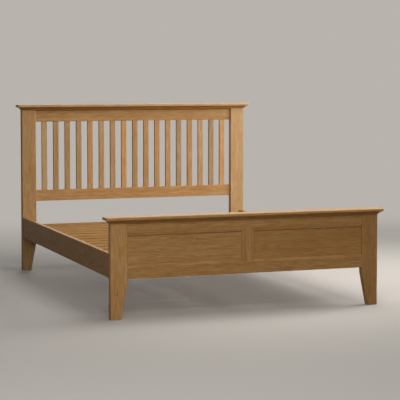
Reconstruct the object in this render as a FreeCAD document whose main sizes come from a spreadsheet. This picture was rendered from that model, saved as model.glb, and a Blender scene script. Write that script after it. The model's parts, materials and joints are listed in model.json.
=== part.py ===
import FreeCAD, Part
import math
import os
import Sketcher

# A king-size panel bed in solid oak, all sizes in millimetres.
# The bed is a knock-down assembly: a slatted headboard and a panelled footboard, each glued up
# from posts and rails, joined by two side rails that bolt on from inside.
# Origin: on the floor under the middle of the bed. Seen from the foot of the bed, +X is to the
# right, the footboard stands at -Y, the headboard at +Y, and +Z is up.

DRIVING_SIZES = [
    ("mattress_width", 1500, "width of the mattress that the bed is made for"),
    ("mattress_length", 2000, "length of that mattress"),
    ("mattress_side_gap", 10.5, "space left between mattress and each side rail"),
    ("mattress_end_gap", 12.5, "space left between mattress and each end frame"),
    ("post_width", 95, "post seen from the foot of the bed"),
    ("post_thickness", 40, "post seen from the side of the bed"),
    ("post_foot_width", 58, "width left at the floor by the taper on the inner side"),
    ("post_taper_drop", 27, "start of the taper below the lowest rail"),
    ("post_edge", 2, "chamfer along the long edges of the posts"),
    ("head_height", 1104, "floor to the top of the headboard cap"),
    ("foot_height", 551, "floor to the top of the footboard cap"),
    ("cap_thickness", 16, "flat capping board of each end frame"),
    ("cap_overhang", 23, "how far the capping board stands out in front of and behind the posts"),
    ("cap_end_overhang", 27, "how far it stands out past the posts at each end"),
    ("cap_top_round", 5, "rounding of its upper edge"),
    ("cap_bottom_round", 3, "rounding of its lower edge"),
    ("cove_width", 18, "reach of the moulding's hollow under the cap, outwards and upwards"),
    ("cove_radius", 45, "radius of that shallow hollow"),
    ("cove_lip", 2, "square lip beyond that hollow, as high as it is deep"),
    ("head_top_rail_height", 77, "headboard rail under the moulding"),
    ("head_middle_rail_height", 74, "headboard rail under the upright slats"),
    ("head_middle_rail_low", 462, "floor to the underside of that rail"),
    ("head_rail_thickness", 22, "thickness of the headboard rails"),
    ("head_rail_setback", 11, "how far the headboard rails lie behind the post faces"),
    ("head_rail_edge", 1.5, "chamfer along the headboard rails"),
    ("head_slat_count", 17, "upright slats between the headboard rails"),
    ("head_slat_width", 36, "width of one upright slat"),
    ("head_slat_thickness", 18, "thickness of one upright slat"),
    ("head_slat_edge", 1.5, "chamfer along one upright slat"),
    ("head_slat_tenon_length", 12, "stub tenon of the slat in each rail"),
    ("head_slat_tenon_thickness", 10, "thickness of that stub tenon"),
    ("head_slat_shoulder", 4, "shoulder on each side of that stub tenon"),
    ("low_rail_height", 76, "height of the bottom rails of both end frames"),
    ("low_rail_drop", 4, "underside of the bottom rails below that of the side rails"),
    ("foot_top_rail_height", 65, "footboard rail under the moulding"),
    ("foot_rail_thickness", 28, "thickness of the footboard rails and muntin"),
    ("foot_rail_setback", 3, "how far the footboard rails lie behind the post faces"),
    ("muntin_width", 70, "upright member between the two panels"),
    ("bevel_width", 16, "bevel round the panels on rails and muntin, seen from the front"),
    ("bevel_depth", 3, "how far that bevel falls back"),
    ("panel_setback", 11, "how far the panels lie behind the post faces"),
    ("panel_thickness", 12, "thickness of the panel field"),
    ("panel_tongue_thickness", 7, "thickness of the panel's edge in its groove"),
    ("panel_groove_depth", 9, "depth of the groove that holds the panels"),
    ("panel_expansion_gap", 1, "room left for the panel at the bottom of its groove"),
    ("tenon_length", 35, "length of the rail tenons in the posts"),
    ("tenon_thickness", 10, "thickness of the rail tenons"),
    ("tenon_shoulder", 10, "shoulder above and below each rail tenon"),
    ("joint_clearance", 0.2, "room on each cheek of a glued joint"),
    ("glue_space", 1, "room at the end of a tenon or dowel"),
    ("side_rail_height", 133, "height of the side rails"),
    ("side_rail_low", 221, "floor to the underside of the side rails"),
    ("side_rail_thickness", 25, "thickness of the side rails"),
    ("side_rail_setback", 4, "how far the side rails lie inside the posts' outer faces"),
    ("side_rail_edge", 2, "chamfer along the side rails"),
    ("slat_bed_depth", 43, "top edge of the side rails to the top of the bed slats"),
    ("bed_slat_count", 15, "slats that carry the mattress"),
    ("bed_slat_width", 86, "width of one such slat"),
    ("bed_slat_thickness", 20, "thickness of one such slat"),
    ("bed_slat_edge", 2, "chamfer along one such slat"),
    ("bed_slat_side_gap", 2, "room between a slat's end and the side rail"),
    ("bed_slat_end_gap", 34, "space between the outermost slats and the end frames"),
    ("bearer_width", 25, "strip on the side rail that the slats rest on"),
    ("bearer_height", 30, "height of that strip"),
    ("bearer_edge", 3, "chamfer along its free lower edge"),
    ("bearer_pocket_gap", 10, "space between that strip's end and the nut pocket"),
    ("centre_rail_width", 45, "beam under the middle of the slats"),
    ("centre_rail_height", 60, "height of that beam"),
    ("hanger_sheet", 2, "steel sheet of the beam hangers"),
    ("hanger_reach", 40, "how far a hanger runs under the beam"),
    ("hanger_wall_height", 45, "height of a hanger's side walls"),
    ("hanger_flange_width", 18, "width of a hanger's fixing flanges"),
    ("hanger_plate_height", 52, "height of a hanger's back plate"),
    ("hanger_clearance", 0.4, "room between beam and hanger on each side"),
    ("hanger_hole", 5, "screw hole in a hanger's flange"),
    ("hanger_hole_margin", 13, "that hole from the upper or lower edge of the plate"),
    ("stud_diameter", 8, "threaded stud that holds a side rail to a post"),
    ("stud_grip", 30, "length of the stud in the post"),
    ("stud_clearance", 0.5, "room round the stud in the rail"),
    ("stud_overrun", 3, "how far the stud runs past the middle of its pocket"),
    ("pocket_distance", 35, "end of the side rail to the middle of its nut pocket"),
    ("pocket_radius", 15, "radius of the round nut pocket in the side rail"),
    ("pocket_floor", 4.5, "wood left between that pocket and the rail's outer face"),
    ("crescent_width", 14, "half-moon washer, across the thickness of the rail"),
    ("crescent_seat", 7, "middle of the pocket to the flat of that washer"),
    ("crescent_clearance", 0.3, "room between washer and pocket wall"),
    ("nut_across_corners", 15, "hexagon nut on the stud, measured across its corners"),
    ("nut_height", 6.5, "height of that nut"),
    ("dowel_diameter", 10, "locating dowels above and below the stud"),
    ("dowel_half_length", 30, "length of a dowel on each side of the joint"),
    ("dowel_offset", 40, "stud to dowel, up or down"),
]

document = FreeCAD.newDocument("PanelBed")
sheet = document.addObject("Spreadsheet::Sheet", "Sizes")
for row, (alias, value, meaning) in enumerate(DRIVING_SIZES, start=1):
    sheet.set(f"A{row}", meaning)
    sheet.set(f"B{row}", str(value))
    sheet.setAlias(f"B{row}", alias)
document.recompute()

# Places that follow from the driving sizes, as expressions of the document.
RAIL_INNER_X = "(Sizes.mattress_width / 2 + Sizes.mattress_side_gap)"
RAIL_MIDDLE_X = f"({RAIL_INNER_X} + Sizes.side_rail_thickness / 2)"
POST_OUTER_X = f"({RAIL_INNER_X} + Sizes.side_rail_thickness + Sizes.side_rail_setback)"
POST_INNER_X = f"({POST_OUTER_X} - Sizes.post_width)"
END_INNER_Y = "(Sizes.mattress_length / 2 + Sizes.mattress_end_gap)"
END_OUTER_Y = f"({END_INNER_Y} + Sizes.post_thickness)"
COVE_REACH = "(Sizes.cove_width + Sizes.cove_lip)"
SIDE_RAIL_HIGH = "(Sizes.side_rail_low + Sizes.side_rail_height)"
SLAT_TOP = f"({SIDE_RAIL_HIGH} - Sizes.slat_bed_depth)"
SLAT_UNDERSIDE = f"({SLAT_TOP} - Sizes.bed_slat_thickness)"
STUD_HEIGHT = "(Sizes.side_rail_low + Sizes.side_rail_height / 2)"
DOWEL_HEIGHTS = (
    f"({STUD_HEIGHT} - Sizes.dowel_offset)",
    f"({STUD_HEIGHT} + Sizes.dowel_offset)",
)
LOW_RAIL_LOW = "(Sizes.side_rail_low - Sizes.low_rail_drop)"
LOW_RAIL_HIGH = f"({LOW_RAIL_LOW} + Sizes.low_rail_height)"

# Each end frame is drawn with its show face at y = 0 and its back towards +Y, and is then moved
# to its place. The footboard shows its face to the room, the headboard to the mattress.
BOARDS = ("footboard", "headboard")
FACE_Y = {"footboard": f"(-{END_OUTER_Y})", "headboard": END_INNER_Y}
MATTRESS_SIDE_Y = {"footboard": "Sizes.post_thickness", "headboard": "0"}
POST_TOP = {
    "footboard": f"(Sizes.foot_height - Sizes.cap_thickness - {COVE_REACH})",
    "headboard": f"(Sizes.head_height - Sizes.cap_thickness - {COVE_REACH})",
}
RAIL_FRONT = {"footboard": "Sizes.foot_rail_setback", "headboard": "Sizes.head_rail_setback"}
RAIL_THICKNESS = {
    "footboard": "Sizes.foot_rail_thickness",
    "headboard": "Sizes.head_rail_thickness",
}
RAIL_BACK = {board: f"({RAIL_FRONT[board]} + {RAIL_THICKNESS[board]})" for board in BOARDS}
RAIL_MIDDLE = {board: f"({RAIL_FRONT[board]} + {RAIL_THICKNESS[board]} / 2)" for board in BOARDS}
RAIL_LEVELS = {
    "footboard": {
        "top_rail": (
            f"({POST_TOP['footboard']} - Sizes.foot_top_rail_height)",
            POST_TOP["footboard"],
        ),
        "bottom_rail": (LOW_RAIL_LOW, LOW_RAIL_HIGH),
    },
    "headboard": {
        "top_rail": (
            f"({POST_TOP['headboard']} - Sizes.head_top_rail_height)",
            POST_TOP["headboard"],
        ),
        "middle_rail": (
            "Sizes.head_middle_rail_low",
            "(Sizes.head_middle_rail_low + Sizes.head_middle_rail_height)",
        ),
        "bottom_rail": (LOW_RAIL_LOW, LOW_RAIL_HIGH),
    },
}
SIDES = {"left": -1, "right": 1}

nodes = []


# ---------------------------------------------------------------- ways of drawing and cutting


def value_of(expression):
    """The number that an expression of the document stands for."""
    return float(sheet.evalExpression(expression))


def point_at(corner):
    """The point of a sketch that a pair of expressions stands for."""
    return FreeCAD.Vector(value_of(corner[0]), value_of(corner[1]), 0)


def origin_plane(body, role):
    return next(item for item in body.Origin.OriginFeatures if item.Role == role)


def new_body(name, x="0", y="0"):
    """A body of its own for one wooden or steel piece, moved to its place."""
    body = document.addObject("PartDesign::Body", name)
    body.Label = name
    body.setExpression("Placement.Base.x", x)
    body.setExpression("Placement.Base.y", y)
    nodes.append(body)
    return body


def new_sketch(body, role, offset="0"):
    """An empty sketch on one of the body's own planes, shifted along that plane's normal."""
    sketch = body.newObject("Sketcher::SketchObject", f"{body.Name}_sketch")
    sketch.AttachmentSupport = [(origin_plane(body, role), "")]
    sketch.MapMode = "FlatFace"
    sketch.setExpression("AttachmentOffset.Base.z", offset)
    return sketch


def front_sketch(body, y="0"):
    """A sketch seen from the foot of the bed, across x and up z, at a distance y."""
    return new_sketch(body, "XZ_Plane", f"-({y})")


def side_sketch(body, x="0"):
    """A sketch seen from the side of the bed, along y and up z, at a distance x."""
    return new_sketch(body, "YZ_Plane", x)


def plan_sketch(body, z="0"):
    """A sketch seen from above, across x and along y, at a height z."""
    return new_sketch(body, "XY_Plane", z)


def pin(sketch, curve, point, corner):
    """Ties one point of a curve to the two expressions of a corner."""
    for kind, expression in zip(("DistanceX", "DistanceY"), corner):
        constraint = Sketcher.Constraint(kind, -1, 1, curve, point, value_of(expression))
        index = sketch.addConstraint(constraint)
        sketch.setExpression(f"Constraints[{index}]", expression)


def fix_radius(sketch, curve, radius):
    index = sketch.addConstraint(Sketcher.Constraint("Radius", curve, value_of(radius)))
    sketch.setExpression(f"Constraints[{index}]", radius)


def draw_line(sketch, start, end):
    return sketch.addGeometry(Part.LineSegment(point_at(start), point_at(end)), False)


def draw_outline(sketch, corners):
    """A closed outline of straight lines through the corners."""
    first = sketch.GeometryCount
    count = len(corners)
    for index, corner in enumerate(corners):
        draw_line(sketch, corner, corners[(index + 1) % count])
    for index, corner in enumerate(corners):
        end_of_line = (first + index, 2)
        start_of_next = (first + (index + 1) % count, 1)
        sketch.addConstraint(Sketcher.Constraint("Coincident", *end_of_line, *start_of_next))
        pin(sketch, first + index, 1, corner)


def draw_box(sketch, low_x, high_x, low_y, high_y):
    """A rectangle between two pairs of expressions."""
    corners = [(low_x, low_y), (high_x, low_y), (high_x, high_y), (low_x, high_y)]
    draw_outline(sketch, corners)


def draw_circle(sketch, x, y, radius):
    """A circle round the point given by two expressions."""
    circle = Part.Circle(point_at((x, y)), FreeCAD.Vector(0, 0, 1), value_of(radius))
    curve = sketch.addGeometry(circle, False)
    pin(sketch, curve, 3, (x, y))
    fix_radius(sketch, curve, radius)


def add_feature(body, kind, sketch, length):
    """A pad or pocket that runs to both sides of its sketch, length in all."""
    feature = body.newObject(f"PartDesign::{kind}", f"{body.Name}_{kind.lower()}")
    feature.Profile = sketch
    feature.SideType = "Symmetric"
    feature.setExpression("Length", length)
    sketch.Visibility = False
    body.Tip = feature
    return feature


def pad(body, sketch, length):
    return add_feature(body, "Pad", sketch, length)


def pocket(body, sketch, depth):
    """A cut that goes depth into the wood from a sketch drawn on its surface."""
    document.recompute()
    before = body.Shape.Volume
    feature = add_feature(body, "Pocket", sketch, f"2 * {depth}")
    document.recompute()
    if body.Shape.Volume >= before:
        raise RuntimeError(f"a cut in {body.Label} took nothing away")
    return feature


def near(first, second):
    return abs(first - second) < 1e-4


def dress_edges(body, kind, size, wanted):
    """Fillets or chamfers the body's straight edges for which wanted(start, end) is true."""
    document.recompute()
    base = body.Tip
    names = []
    for index, edge in enumerate(base.Shape.Edges, start=1):
        ends = [vertex.Point for vertex in edge.Vertexes]
        if len(ends) == 2 and wanted(*ends):
            names.append(f"Edge{index}")
    if not names:
        raise RuntimeError(f"no edge to dress on {body.Label}")
    feature = body.newObject(f"PartDesign::{kind}", f"{body.Name}_{kind.lower()}")
    feature.Base = (base, names)
    feature.setExpression("Radius" if kind == "Fillet" else "Size", size)
    body.Tip = feature


def chamfer_along(body, axis, size, first_places, second_places):
    """Chamfers the edges that run along an axis at given places on the other two axes."""
    across = [name for name in "xyz" if name != axis]
    wanted_places = [
        [value_of(place) for place in first_places],
        [value_of(place) for place in second_places],
    ]

    def wanted(start, end):
        return all(
            near(getattr(start, name), getattr(end, name))
            and any(near(getattr(start, name), place) for place in places)
            for name, places in zip(across, wanted_places)
        )

    dress_edges(body, "Chamfer", size, wanted)


# ---------------------------------------------------------------- posts of the end frames

CLOSE_HALF_TENON = "(Sizes.tenon_thickness / 2 + Sizes.joint_clearance)"
CLOSE_SHOULDER = "(Sizes.tenon_shoulder - Sizes.joint_clearance)"
TONGUE_MIDDLE = "(Sizes.panel_setback + Sizes.panel_tongue_thickness / 2)"
CLOSE_HALF_TONGUE = "(Sizes.panel_tongue_thickness / 2 + Sizes.joint_clearance)"
CLOSE_DOWEL_RADIUS = "(Sizes.dowel_diameter / 2 + Sizes.joint_clearance)"
CLOSE_STUD_RADIUS = "(Sizes.stud_diameter / 2 + Sizes.joint_clearance)"


def cut_rail_mortises(body, board, side):
    """The slots for the rail tenons on the inner side of a post."""
    slots = side_sketch(body, f"{side} * {POST_INNER_X}")
    for low, high in RAIL_LEVELS[board].values():
        draw_box(
            slots,
            f"{RAIL_MIDDLE[board]} - {CLOSE_HALF_TENON}",
            f"{RAIL_MIDDLE[board]} + {CLOSE_HALF_TENON}",
            f"{low} + {CLOSE_SHOULDER}",
            f"{high} - {CLOSE_SHOULDER}",
        )
    pocket(body, slots, "(Sizes.tenon_length + Sizes.glue_space)")


def cut_panel_groove_in_post(body, side):
    """The groove for a panel's edge, from the mortise of one rail to that of the other."""
    groove = side_sketch(body, f"{side} * {POST_INNER_X}")
    draw_box(
        groove,
        f"{TONGUE_MIDDLE} - {CLOSE_HALF_TONGUE}",
        f"{TONGUE_MIDDLE} + {CLOSE_HALF_TONGUE}",
        f"{LOW_RAIL_HIGH} - Sizes.tenon_shoulder",
        f"{RAIL_LEVELS['footboard']['top_rail'][0]} + Sizes.tenon_shoulder",
    )
    pocket(body, groove, "Sizes.panel_groove_depth")


def cut_side_rail_holes(body, board, side):
    """The holes for the stud and the dowels, on the side that meets the side rail."""
    rail_middle = f"{side} * {RAIL_MIDDLE_X}"
    stud_hole = front_sketch(body, MATTRESS_SIDE_Y[board])
    draw_circle(stud_hole, rail_middle, STUD_HEIGHT, CLOSE_STUD_RADIUS)
    pocket(body, stud_hole, "(Sizes.stud_grip + Sizes.glue_space)")
    dowel_holes = front_sketch(body, MATTRESS_SIDE_Y[board])
    for height in DOWEL_HEIGHTS:
        draw_circle(dowel_holes, rail_middle, height, CLOSE_DOWEL_RADIUS)
    pocket(body, dowel_holes, "(Sizes.dowel_half_length + Sizes.glue_space)")


def make_post(board, side_name):
    """A post that tapers on its inner side towards the floor."""
    side = SIDES[side_name]
    outer = f"{side} * {POST_OUTER_X}"
    inner = f"{side} * {POST_INNER_X}"
    foot_inner = f"{side} * ({POST_OUTER_X} - Sizes.post_foot_width)"
    taper_top = f"({LOW_RAIL_LOW} - Sizes.post_taper_drop)"
    body = new_body(f"{board}_post_{side_name}", y=FACE_Y[board])
    outline = front_sketch(body, "Sizes.post_thickness / 2")
    draw_outline(
        outline,
        [
            (outer, "0"),
            (foot_inner, "0"),
            (inner, taper_top),
            (inner, POST_TOP[board]),
            (outer, POST_TOP[board]),
        ],
    )
    pad(body, outline, "Sizes.post_thickness")
    faces = (0, value_of("Sizes.post_thickness"))

    def is_long_edge(start, end):
        on_face = near(start.y, end.y) and any(near(start.y, face) for face in faces)
        return on_face and not near(start.z, end.z)

    dress_edges(body, "Chamfer", "Sizes.post_edge", is_long_edge)
    cut_rail_mortises(body, board, side)
    if board == "footboard":
        cut_panel_groove_in_post(body, side)
    cut_side_rail_holes(body, board, side)


for board in BOARDS:
    for side_name in SIDES:
        make_post(board, side_name)


# ---------------------------------------------------------------- rails of the end frames


def add_rail_tenons(body, board, low, high):
    """A tenon at each end of a rail, drawn as one bar that runs through the rail."""
    bar = front_sketch(body, RAIL_MIDDLE[board])
    reach = f"({POST_INNER_X} + Sizes.tenon_length)"
    draw_box(
        bar, f"-{reach}", reach, f"{low} + Sizes.tenon_shoulder", f"{high} - Sizes.tenon_shoulder"
    )
    pad(body, bar, "Sizes.tenon_thickness")


SLAT_GAP = (
    f"((2 * {POST_INNER_X} - Sizes.head_slat_count * Sizes.head_slat_width)"
    " / (Sizes.head_slat_count + 1))"
)
SLAT_PITCH = f"(Sizes.head_slat_width + {SLAT_GAP})"
FIRST_SLAT_X = f"({SLAT_GAP} + Sizes.head_slat_width / 2 - {POST_INNER_X})"
HALF_SLAT_TENON = "(Sizes.head_slat_width / 2 - Sizes.head_slat_shoulder)"


def cut_slat_mortises(body, level):
    """A row of slots for the stub tenons of the upright slats."""
    slot = plan_sketch(body, level)
    half_width = f"({HALF_SLAT_TENON} + Sizes.joint_clearance)"
    half_depth = "(Sizes.head_slat_tenon_thickness / 2 + Sizes.joint_clearance)"
    draw_box(
        slot,
        f"{FIRST_SLAT_X} - {half_width}",
        f"{FIRST_SLAT_X} + {half_width}",
        f"{RAIL_MIDDLE['headboard']} - {half_depth}",
        f"{RAIL_MIDDLE['headboard']} + {half_depth}",
    )
    first = pocket(body, slot, "(Sizes.head_slat_tenon_length + Sizes.glue_space)")
    row = body.newObject("PartDesign::LinearPattern", f"{body.Name}_row")
    row.Originals = [first]
    row.Direction = (slot, ["H_Axis"])
    row.setExpression("Length", f"(Sizes.head_slat_count - 1) * {SLAT_PITCH}")
    row.setExpression("Occurrences", "Sizes.head_slat_count")
    body.Tip = row


def make_headboard_rail(part):
    """A plain rail of the headboard; its edge that meets a moulding stays square."""
    low, high = RAIL_LEVELS["headboard"][part]
    front, back = RAIL_FRONT["headboard"], RAIL_BACK["headboard"]
    body = new_body(f"headboard_{part}", y=FACE_Y["headboard"])
    section = side_sketch(body)
    draw_box(section, front, back, low, high)
    pad(body, section, f"2 * {POST_INNER_X}")
    open_edges = (low,) if part == "top_rail" else (low, high)
    chamfer_along(body, "x", "Sizes.head_rail_edge", (front, back), open_edges)
    add_rail_tenons(body, "headboard", low, high)
    if part == "top_rail":
        cut_slat_mortises(body, low)
    if part == "middle_rail":
        cut_slat_mortises(body, high)


def make_footboard_rail(part):
    """A rail of the footboard, bevelled and grooved along the edge that holds the panels."""
    low, high = RAIL_LEVELS["footboard"][part]
    panel_edge, plain_edge, outward = (low, high, 1) if part == "top_rail" else (high, low, -1)
    front, back = RAIL_FRONT["footboard"], RAIL_BACK["footboard"]
    body = new_body(f"footboard_{part}", y=FACE_Y["footboard"])
    section = side_sketch(body)
    draw_outline(
        section,
        [
            (front, plain_edge),
            (front, f"{panel_edge} + {outward} * Sizes.bevel_width"),
            (f"({front} + Sizes.bevel_depth)", panel_edge),
            (back, panel_edge),
            (back, plain_edge),
        ],
    )
    pad(body, section, f"2 * {POST_INNER_X}")
    add_rail_tenons(body, "footboard", low, high)
    groove = plan_sketch(body, panel_edge)
    draw_box(
        groove,
        f"-{POST_INNER_X}",
        POST_INNER_X,
        f"{TONGUE_MIDDLE} - {CLOSE_HALF_TONGUE}",
        f"{TONGUE_MIDDLE} + {CLOSE_HALF_TONGUE}",
    )
    pocket(body, groove, "Sizes.panel_groove_depth")


for part in RAIL_LEVELS["headboard"]:
    make_headboard_rail(part)
for part in RAIL_LEVELS["footboard"]:
    make_footboard_rail(part)


# ---------------------------------------------------------------- upright slats of the headboard


def make_upright_slat(number):
    """One upright slat, with a stub tenon at each end that is glued into the rails."""
    low = RAIL_LEVELS["headboard"]["middle_rail"][1]
    high = RAIL_LEVELS["headboard"]["top_rail"][0]
    middle = RAIL_MIDDLE["headboard"]
    half_width = "Sizes.head_slat_width / 2"
    half_depth = "Sizes.head_slat_thickness / 2"
    place = f"{FIRST_SLAT_X} + {number - 1} * {SLAT_PITCH}"
    body = new_body(f"headboard_slat_{number:02d}", x=place, y=FACE_Y["headboard"])
    strip = front_sketch(body, middle)
    draw_box(strip, f"-{half_width}", half_width, low, high)
    pad(body, strip, "Sizes.head_slat_thickness")
    edges = (f"-{half_width}", half_width)
    faces = (f"{middle} - {half_depth}", f"{middle} + {half_depth}")
    chamfer_along(body, "z", "Sizes.head_slat_edge", edges, faces)
    tenon = front_sketch(body, middle)
    draw_box(
        tenon,
        f"-{HALF_SLAT_TENON}",
        HALF_SLAT_TENON,
        f"{low} - Sizes.head_slat_tenon_length",
        f"{high} + Sizes.head_slat_tenon_length",
    )
    pad(body, tenon, "Sizes.head_slat_tenon_thickness")


for number in range(1, round(value_of("Sizes.head_slat_count")) + 1):
    make_upright_slat(number)


# ---------------------------------------------------------------- muntin and panels of the footboard

OPENING_LOW = RAIL_LEVELS["footboard"]["bottom_rail"][1]
OPENING_HIGH = RAIL_LEVELS["footboard"]["top_rail"][0]
HALF_MUNTIN = "(Sizes.muntin_width / 2)"
TONGUE_REACH = "(Sizes.panel_groove_depth - Sizes.panel_expansion_gap)"


def make_muntin():
    """The upright between the panels; its ends are scribed over the bevels of the rails."""
    front, back = RAIL_FRONT["footboard"], RAIL_BACK["footboard"]
    bevel_back = f"({front} + Sizes.bevel_depth)"
    flat_half = f"({HALF_MUNTIN} - Sizes.bevel_width)"
    scribed_low = f"({OPENING_LOW} - Sizes.bevel_width)"
    scribed_high = f"({OPENING_HIGH} + Sizes.bevel_width)"
    body = new_body("footboard_muntin", y=FACE_Y["footboard"])
    section = plan_sketch(body, f"({OPENING_LOW} + {OPENING_HIGH}) / 2")
    draw_outline(
        section,
        [
            (f"-{HALF_MUNTIN}", back),
            (f"-{HALF_MUNTIN}", bevel_back),
            (f"-{flat_half}", front),
            (flat_half, front),
            (HALF_MUNTIN, bevel_back),
            (HALF_MUNTIN, back),
        ],
    )
    pad(body, section, f"{scribed_high} - {scribed_low}")
    scribe = side_sketch(body)
    for end, opening in ((scribed_low, OPENING_LOW), (scribed_high, OPENING_HIGH)):
        corners = [(front, end), (bevel_back, opening), (back, opening), (back, end)]
        draw_outline(scribe, corners)
    pocket(body, scribe, HALF_MUNTIN)
    stub = front_sketch(body, TONGUE_MIDDLE)
    draw_box(
        stub,
        f"-{HALF_MUNTIN}",
        HALF_MUNTIN,
        f"{OPENING_LOW} - {TONGUE_REACH}",
        f"{OPENING_HIGH} + {TONGUE_REACH}",
    )
    pad(body, stub, "Sizes.panel_tongue_thickness")
    for side in SIDES.values():
        groove = side_sketch(body, f"{side} * {HALF_MUNTIN}")
        draw_box(
            groove,
            f"{TONGUE_MIDDLE} - {CLOSE_HALF_TONGUE}",
            f"{TONGUE_MIDDLE} + {CLOSE_HALF_TONGUE}",
            f"{OPENING_LOW} - Sizes.panel_groove_depth",
            f"{OPENING_HIGH} + Sizes.panel_groove_depth",
        )
        pocket(body, groove, "Sizes.panel_groove_depth")


def make_panel(side_name):
    """A flat panel; its back is rebated so that a thin tongue runs all round in the groove."""
    side = SIDES[side_name]
    body = new_body(f"footboard_panel_{side_name}", y=FACE_Y["footboard"])
    face = front_sketch(body, TONGUE_MIDDLE)
    draw_box(
        face,
        f"{side} * ({HALF_MUNTIN} - {TONGUE_REACH})",
        f"{side} * ({POST_INNER_X} + {TONGUE_REACH})",
        f"{OPENING_LOW} - {TONGUE_REACH}",
        f"{OPENING_HIGH} + {TONGUE_REACH}",
    )
    pad(body, face, "Sizes.panel_tongue_thickness")
    field_thickness = "(Sizes.panel_thickness - Sizes.panel_tongue_thickness)"
    field_front = "(Sizes.panel_setback + Sizes.panel_tongue_thickness)"
    field = front_sketch(body, f"{field_front} + {field_thickness} / 2")
    draw_box(
        field,
        f"{side} * ({HALF_MUNTIN} + Sizes.panel_expansion_gap)",
        f"{side} * ({POST_INNER_X} - Sizes.panel_expansion_gap)",
        f"{OPENING_LOW} + Sizes.panel_expansion_gap",
        f"{OPENING_HIGH} - Sizes.panel_expansion_gap",
    )
    pad(body, field, field_thickness)


make_muntin()
for side_name in SIDES:
    make_panel(side_name)


# ---------------------------------------------------------------- capping of the end frames


def join(sketch, *curve_ends):
    """Ties the ends of two curves to each other."""
    sketch.addConstraint(Sketcher.Constraint("Coincident", *curve_ends[0], *curve_ends[1]))


def draw_hollow(sketch, foot, outward, start, end):
    """The hollow from its foot on the wood up and outwards, between the ends of two lines."""
    radius = value_of("Sizes.cove_radius")
    width = value_of("Sizes.cove_width")
    half_sweep = math.asin(width / math.sqrt(2) / radius)
    facing = math.radians(90 + 45 * outward)
    to_chord = FreeCAD.Vector(math.cos(facing), math.sin(facing), 0) * radius * math.cos(half_sweep)
    chord_middle = point_at(foot) + FreeCAD.Vector(outward * width / 2, width / 2, 0)
    circle = Part.Circle(chord_middle - to_chord, FreeCAD.Vector(0, 0, 1), radius)
    curve = Part.ArcOfCircle(circle, facing - half_sweep, facing + half_sweep)
    arc = sketch.addGeometry(curve, False)
    join(sketch, (arc, 1), start)
    join(sketch, (arc, 2), end)
    fix_radius(sketch, arc, "Sizes.cove_radius")


def draw_lip(sketch, root_x, outward, low):
    """The square lip beyond a hollow; gives the line ends that the hollow and the top meet."""
    hollow_end = f"({root_x} + {outward} * Sizes.cove_width)"
    tip = f"({root_x} + {outward} * {COVE_REACH})"
    hollow_top = f"({low} + Sizes.cove_width)"
    high = f"({low} + {COVE_REACH})"
    ledge = draw_line(sketch, (hollow_end, hollow_top), (tip, hollow_top))
    edge = draw_line(sketch, (tip, hollow_top), (tip, high))
    join(sketch, (ledge, 2), (edge, 1))
    pin(sketch, ledge, 1, (hollow_end, hollow_top))
    pin(sketch, edge, 1, (tip, hollow_top))
    pin(sketch, edge, 2, (tip, high))
    return (ledge, 1), (edge, 2)


def make_cove(board):
    """The board under the cap, hollowed along both sides and round both ends."""
    low = POST_TOP[board]
    high = f"({low} + {COVE_REACH})"
    front, back = "0", "Sizes.post_thickness"
    body = new_body(f"{board}_cove", y=FACE_Y[board])

    section = side_sketch(body)
    bottom = draw_line(section, (front, low), (back, low))
    pin(section, bottom, 1, (front, low))
    pin(section, bottom, 2, (back, low))
    front_hollow, front_top = draw_lip(section, front, -1, low)
    back_hollow, back_top = draw_lip(section, back, 1, low)
    top = draw_line(section, (f"(-{COVE_REACH})", high), (f"({back} + {COVE_REACH})", high))
    join(section, (top, 1), front_top)
    join(section, (top, 2), back_top)
    draw_hollow(section, (front, low), -1, (bottom, 1), front_hollow)
    draw_hollow(section, (back, low), 1, back_hollow, (bottom, 2))
    pad(body, section, f"2 * ({POST_OUTER_X} + {COVE_REACH})")

    waste = front_sketch(body, "Sizes.post_thickness / 2")
    for side in SIDES.values():
        draw_end_waste(waste, side, low)
    pocket(body, waste, f"(Sizes.post_thickness / 2 + {COVE_REACH})")


def draw_end_waste(sketch, side, low):
    """What is cut from one end of the cove board, so that the hollow runs round the corner."""
    root = (f"{side} * {POST_OUTER_X}", low)
    corner = (f"{side} * ({POST_OUTER_X} + {COVE_REACH})", low)
    under_lip = (corner[0], f"({low} + Sizes.cove_width)")
    hollow_end = (f"{side} * ({POST_OUTER_X} + Sizes.cove_width)", under_lip[1])
    base = draw_line(sketch, root, corner)
    wall = draw_line(sketch, corner, under_lip)
    ledge = draw_line(sketch, under_lip, hollow_end)
    join(sketch, (base, 2), (wall, 1))
    join(sketch, (wall, 2), (ledge, 1))
    pin(sketch, base, 1, root)
    pin(sketch, base, 2, corner)
    pin(sketch, wall, 2, under_lip)
    pin(sketch, ledge, 2, hollow_end)
    line_ends = ((ledge, 2), (base, 1)) if side > 0 else ((base, 1), (ledge, 2))
    draw_hollow(sketch, root, side, *line_ends)


def make_cap(board):
    """The capping board, with its upper and lower edges rounded."""
    low = f"({POST_TOP[board]} + {COVE_REACH})"
    reach = f"({POST_OUTER_X} + Sizes.cap_end_overhang)"
    body = new_body(f"{board}_cap", y=FACE_Y[board])
    outline = plan_sketch(body, f"{low} + Sizes.cap_thickness / 2")
    draw_box(
        outline,
        f"-{reach}",
        reach,
        "-Sizes.cap_overhang",
        "(Sizes.post_thickness + Sizes.cap_overhang)",
    )
    pad(body, outline, "Sizes.cap_thickness")
    levels = {
        "Sizes.cap_top_round": value_of(f"{low} + Sizes.cap_thickness"),
        "Sizes.cap_bottom_round": value_of(low),
    }
    for size, level in levels.items():
        dress_edges(
            body,
            "Fillet",
            size,
            lambda start, end, level=level: near(start.z, level) and near(end.z, level),
        )


for board in BOARDS:
    make_cove(board)
    make_cap(board)


# ---------------------------------------------------------------- side rails and slat bearers


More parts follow.
